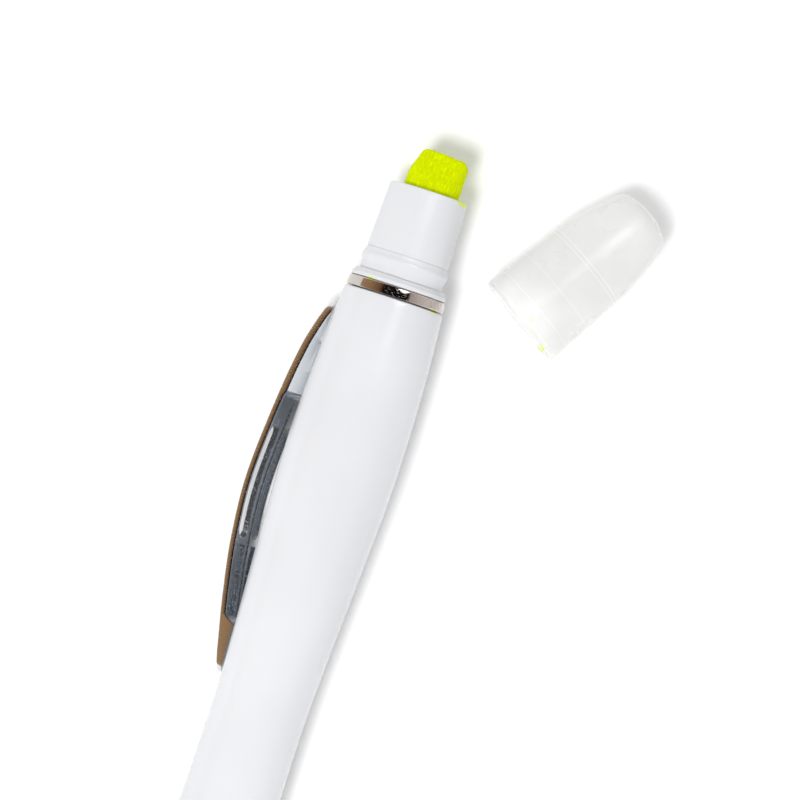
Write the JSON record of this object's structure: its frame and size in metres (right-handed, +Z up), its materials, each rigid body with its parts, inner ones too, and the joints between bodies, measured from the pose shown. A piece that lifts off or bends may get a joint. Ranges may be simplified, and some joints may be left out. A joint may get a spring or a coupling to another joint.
{
  "type": "twin-ended highlighter and twist ballpoint pen",
  "caption": "Hourglass pen with a chisel highlighter under a frosted pull-off cap at one end and a twist-action ballpoint at the other, with a pocket clip.",
  "frame": {"origin": "centre of the footprint of the lying pen and its loose cap, on the surface they lie on", "axes": "+Y along the pen towards the highlighter end, +Z up from the surface, +X towards the loose cap; the clip points down and to -X"},
  "size_m": [0.0385, 0.145, 0.0138],
  "materials": {
    "white_gloss": "gloss",
    "white_satin": "satin",
    "chrome": "mirror",
    "frosted": "frosted, translucent",
    "felt": "porous fluorescent felt",
    "ink_fibre": "bonded fibre",
    "film": "clear film",
    "natural_plastic": "natural moulding",
    "black_rubber": "matt",
    "grey_rubber": "matt",
    "nickel": "drawn tube",
    "ink": "paste ink",
    "brass": "turned",
    "steel": "bright wire"
  },
  "bodies": {
    "upper_barrel": {"upper_barrel": "white_gloss", "nib_holder": "white_satin", "highlighter_nib": "felt", "ink_reservoir": "ink_fibre", "reservoir_film": "film", "reservoir_plug": "natural_plastic", "trim_ring": "chrome", "cam_tube": "natural_plastic", "cam_end_cap": "natural_plastic", "friction_ring": "black_rubber"},
    "lower_barrel": {"lower_barrel": "white_gloss", "guide_sleeve": "natural_plastic", "grip_sleeve": "grey_rubber", "nose_cone": "chrome", "centre_band": "chrome", "return_spring": "steel"},
    "refill": {"plunger": "natural_plastic", "refill_tube": "nickel", "refill_ink": "ink", "refill_point": "brass", "refill_ball": "steel"},
    "clip": {"pocket_clip": "chrome"},
    "cap": {"highlighter_cap": "frosted"}
  },
  "joints": [
    {"name": "twist", "type": "hinge", "parent": "upper_barrel", "child": "lower_barrel", "pos_m": [-0.00922, -0.01514, 0.00685], "axis": [0, 1, 0], "range_deg": [0, 180]},
    {"name": "refill_slide", "type": "slide", "parent": "lower_barrel", "child": "refill", "axis": [0, -1, 0], "range_m": [0, 0.0045], "deforming": ["return_spring"]},
    {"name": "clip_flex", "type": "hinge", "parent": "upper_barrel", "child": "clip", "pos_m": [-0.01493, 0.04661, 0.00411], "axis": [0.4325, 0, -0.9016], "range_deg": [0, 3.5], "stiffness_Nm_per_rad": 1.5, "springref_deg": -1.72},
    {"name": "cap_swing", "type": "hinge", "parent": "upper_barrel", "child": "cap", "pos_m": [-0.05042, 0.0421, 0.01006], "axis": [0.0721, 0.0059, 0.9974], "range_deg": [0, 32.16]}
  ],
  "couplings": [
    {"joint": "refill_slide", "follows": "twist", "m_per_rad": 0.001432}
  ]
}
